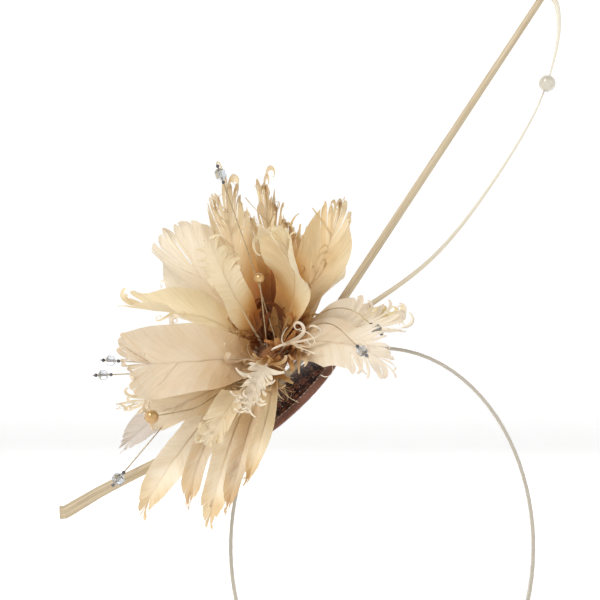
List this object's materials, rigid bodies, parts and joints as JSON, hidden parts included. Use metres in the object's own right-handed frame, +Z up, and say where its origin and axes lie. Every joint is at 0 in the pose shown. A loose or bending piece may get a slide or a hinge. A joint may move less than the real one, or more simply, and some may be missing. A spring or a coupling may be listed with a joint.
{
  "type": "fascinator headpiece",
  "caption": "Feather flower fascinator with two long stripped quills and wired beads, sewn to a domed woven base on a slim headband.",
  "frame": {"origin": "middle of the headband's inner face at the crown of the head", "axes": "+Z up, +X along the headband's plane, away from the flower's side, -Y the side that the flower faces"},
  "size_m": [0.2536, 0.1129, 0.3292],
  "materials": {
    "feather": "dyed goose feather, champagne",
    "spring_steel": "spring temper strip",
    "satin_ribbon": "satin",
    "sinamay": "open banana-fibre weave",
    "bias_binding": "folded bias strip",
    "fine_wire": "fine drawn wire",
    "felt": "pressed felt",
    "thread": "polyester thread",
    "wound_cotton": "wound thread",
    "stripped_quill": "stripped feather shaft, natural keratin",
    "pearl": "pearlescent",
    "golden_pearl": "pearlescent, golden",
    "crystal": "faceted, clear",
    "seed_bead": "dark metallic"
  },
  "bodies": {
    "headpiece": {"band_stitches": "thread", "base_edge_binding": "bias_binding", "base_edge_wire": "fine_wire", "curved_quill": "stripped_quill", "feather_back_left": "feather", "feather_back_low": "feather", "feather_back_right": "feather", "feather_back_top": "feather", "feather_crown_front": "feather", "feather_crown_left": "feather", "feather_crown_right": "feather", "feather_front_tuft": "feather", "feather_hanging_centre": "feather", "feather_hanging_curl": "feather", "feather_hanging_far_left": "feather", "feather_hanging_grey": "feather", "feather_hanging_left": "feather", "feather_hanging_right": "feather", "feather_hanging_short": "feather", "feather_left_boat": "feather", "feather_left_front": "feather", "feather_left_tail": "feather", "feather_left_tucked": "feather", "feather_left_upper": "feather", "feather_right_back": "feather", "feather_right_front": "feather", "feather_right_small": "feather", "feather_right_tall": "feather", "feather_throat_spiral": "feather", "feather_upper_back": "feather", "feather_upper_curl": "feather", "feather_upper_tall": "feather", "felt_pad": "felt", "flower_hub": "wound_cotton", "headband_cap_left": "satin_ribbon", "headband_cap_right": "satin_ribbon", "headband_core": "spring_steel", "headband_ribbon": "satin_ribbon", "hub_binding": "thread", "quill_pearl": "pearl", "quill_stitches": "thread", "sinamay_base": "sinamay", "straight_quill": "stripped_quill"},
    "top_stem": {"top_crystal": "crystal", "top_seed_beads": "seed_bead", "top_wire": "fine_wire"},
    "stamen_stem": {"stamen_pearl": "pearl", "stamen_wire": "fine_wire"},
    "left_stem": {"left_crystal": "crystal", "left_seed_beads": "seed_bead", "left_wire": "fine_wire"},
    "lower_left_stem": {"lower_left_crystal": "crystal", "lower_left_seed_beads": "seed_bead", "lower_left_wire": "fine_wire"},
    "gold_stem": {"gold_pearl": "golden_pearl", "gold_wire": "fine_wire"},
    "right_stem": {"right_crystal": "crystal", "right_seed_beads": "seed_bead", "right_wire": "fine_wire"}
  },
  "joints": [
    {"name": "top_sway", "type": "hinge", "parent": "headpiece", "child": "top_stem", "pos_m": [-0.054, -0.033, 0.006], "axis": [0, 1, 0], "range_deg": [-5, 5], "stiffness_Nm_per_rad": 0.04},
    {"name": "stamen_sway", "type": "hinge", "parent": "headpiece", "child": "stamen_stem", "pos_m": [-0.058, -0.037, 0.002], "axis": [0, 1, 0], "range_deg": [-5, 5], "stiffness_Nm_per_rad": 0.04},
    {"name": "left_sway", "type": "hinge", "parent": "headpiece", "child": "left_stem", "pos_m": [-0.066, -0.029, -0.003], "axis": [0, 1, 0], "range_deg": [-5, 5], "stiffness_Nm_per_rad": 0.04},
    {"name": "lower_left_sway", "type": "hinge", "parent": "headpiece", "child": "lower_left_stem", "pos_m": [-0.067, -0.022, -0.008], "axis": [0, 1, 0], "range_deg": [-4, 4], "stiffness_Nm_per_rad": 0.04},
    {"name": "gold_sway", "type": "hinge", "parent": "headpiece", "child": "gold_stem", "pos_m": [-0.066, -0.035, -0.01], "axis": [0, 1, 0], "range_deg": [-4, 4], "stiffness_Nm_per_rad": 0.04},
    {"name": "right_sway", "type": "hinge", "parent": "headpiece", "child": "right_stem", "pos_m": [-0.048, -0.0325, 0.003], "axis": [0, 1, 0], "range_deg": [-5, 5], "stiffness_Nm_per_rad": 0.04}
  ]
}
